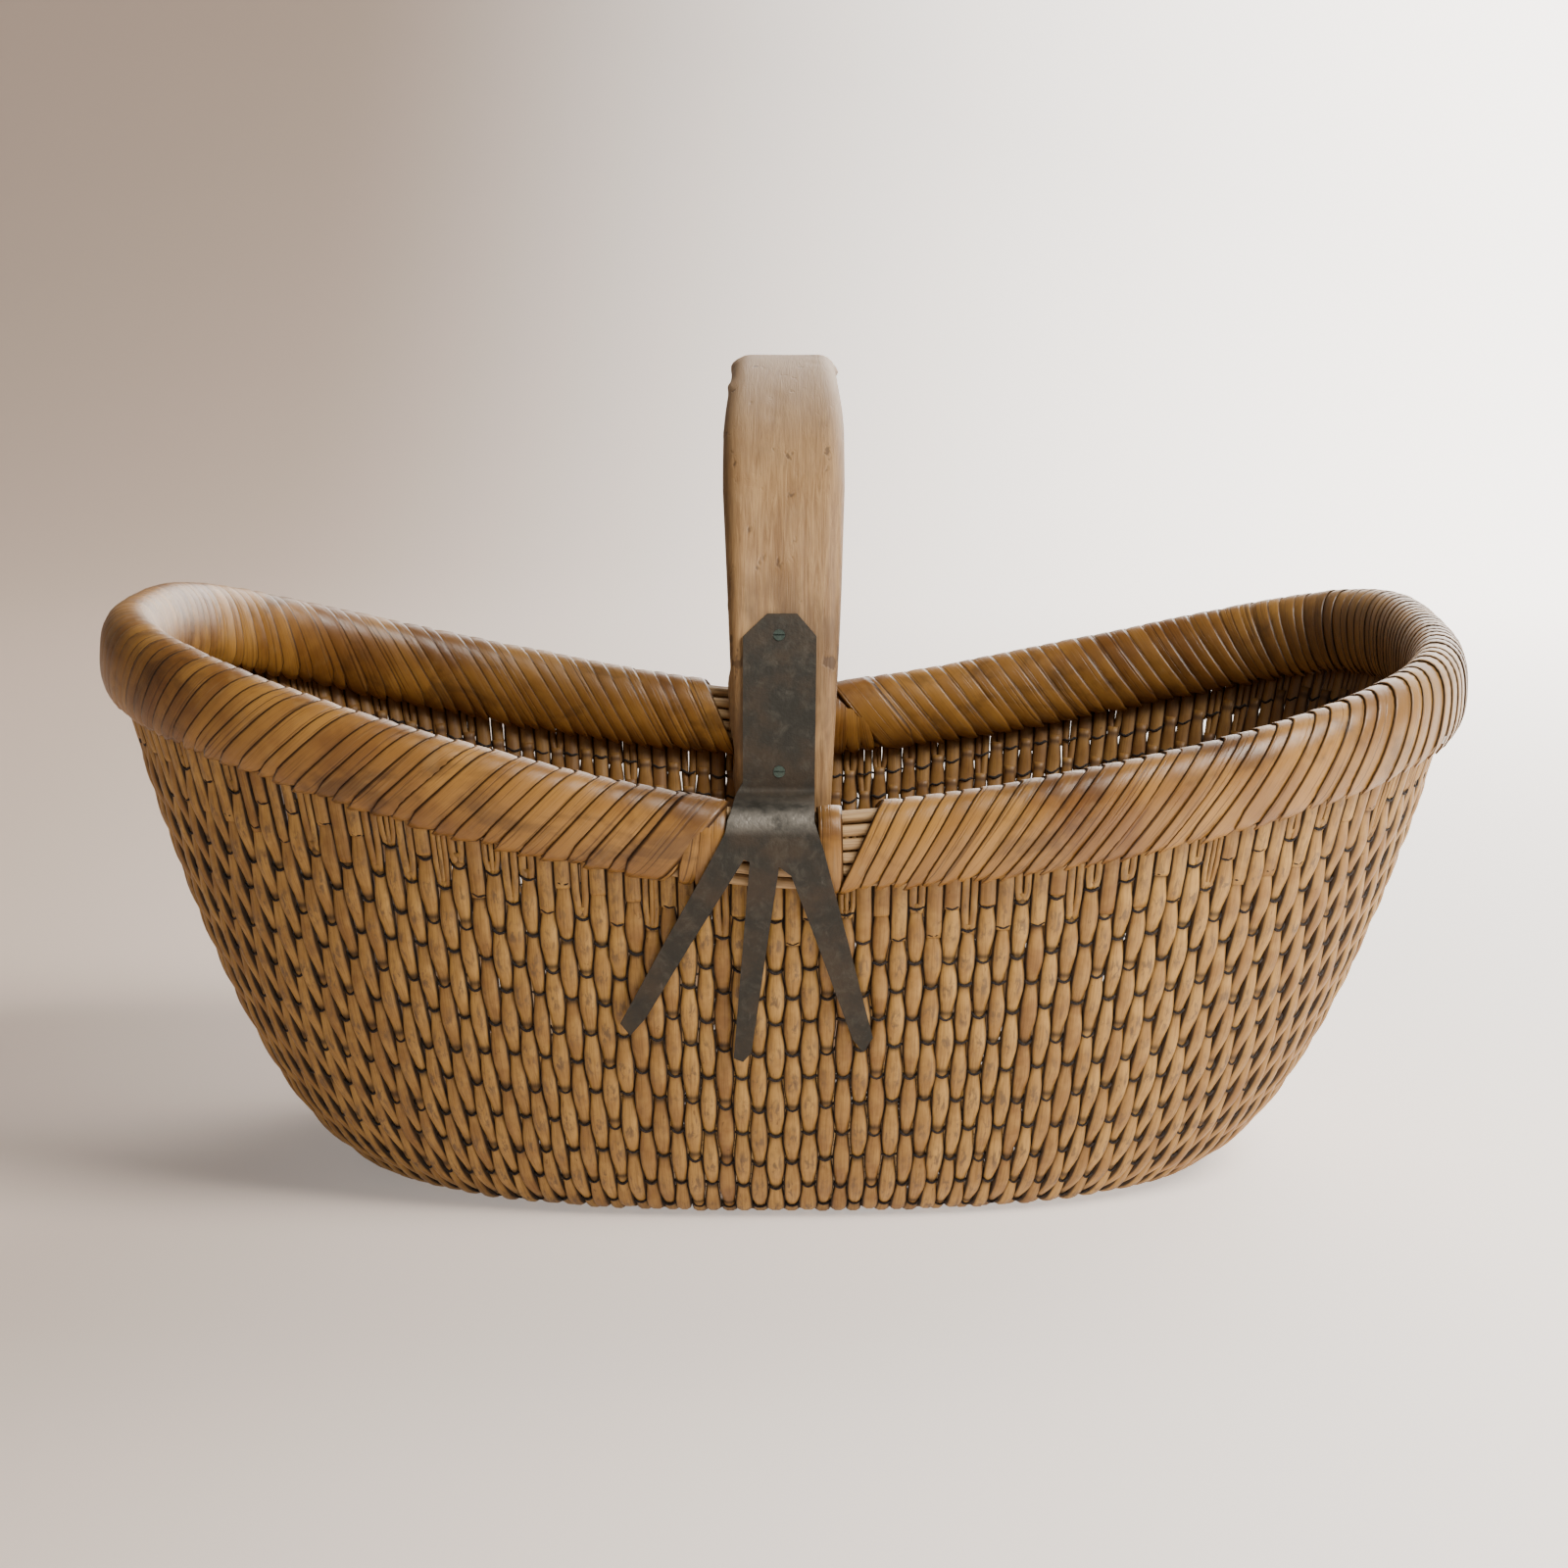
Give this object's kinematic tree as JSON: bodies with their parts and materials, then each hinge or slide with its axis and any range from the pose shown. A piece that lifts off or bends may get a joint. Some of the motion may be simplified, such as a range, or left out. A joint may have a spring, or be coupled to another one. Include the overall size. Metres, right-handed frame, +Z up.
{
  "type": "gathering basket",
  "caption": "Deep boat-shaped willow basket of upright stakes tied with twine, its bound rim high at both ends, with a bentwood bow handle held by forked iron straps.",
  "frame": {"origin": "on the floor under the middle of the basket", "axes": "+X along the length toward the end seen on the right, -Y the side seen in front, +Z up"},
  "size_m": [0.604, 0.4102, 0.359],
  "materials": {
    "peeled_willow": "dull aged peeled willow, worn on the bulges",
    "rim_rod_willow": "dull willow rods",
    "split_willow_binding": "smooth, handled, half glossy split willow",
    "dark_twine": "matt dark twisted cord",
    "weathered_bow_wood": "weathered hardwood, greyed and hand polished",
    "forged_iron": "dark forged sheet iron, brighter where worn"
  },
  "bodies": {
    "root": {"base_rods": "peeled_willow", "bentwood_handle": "weathered_bow_wood", "front_screw_lower": "forged_iron", "front_screw_upper": "forged_iron", "front_strap": "forged_iron", "rear_screw_lower": "forged_iron", "rear_screw_upper": "forged_iron", "rear_strap": "forged_iron", "rim_binding_front_left": "split_willow_binding", "rim_binding_front_right": "split_willow_binding", "rim_binding_rear_left": "split_willow_binding", "rim_binding_rear_right": "split_willow_binding", "rim_inner_rods_front": "rim_rod_willow", "rim_inner_rods_rear": "rim_rod_willow", "rim_outer_rods_front": "rim_rod_willow", "rim_outer_rods_rear": "rim_rod_willow", "rim_top_rods_front": "rim_rod_willow", "rim_top_rods_rear": "rim_rod_willow", "twine_row_01": "dark_twine", "twine_row_02": "dark_twine", "twine_row_03": "dark_twine", "twine_row_04": "dark_twine", "twine_row_05": "dark_twine", "twine_row_06": "dark_twine", "twine_row_07": "dark_twine", "twine_row_08": "dark_twine", "twine_row_09": "dark_twine", "twine_row_10": "dark_twine", "twine_row_11": "dark_twine", "twine_row_12": "dark_twine", "wall_stakes_01": "peeled_willow", "wall_stakes_02": "peeled_willow", "wall_stakes_03": "peeled_willow", "wall_stakes_04": "peeled_willow", "wall_stakes_05": "peeled_willow", "wall_stakes_06": "peeled_willow", "wall_stakes_07": "peeled_willow", "wall_stakes_08": "peeled_willow", "wall_stakes_09": "peeled_willow", "wall_stakes_10": "peeled_willow", "wall_stakes_11": "peeled_willow", "wall_stakes_12": "peeled_willow", "wall_stakes_13": "peeled_willow", "wall_stakes_14": "peeled_willow", "wall_stakes_15": "peeled_willow", "wall_stakes_16": "peeled_willow"}
  },
  "joints": []
}
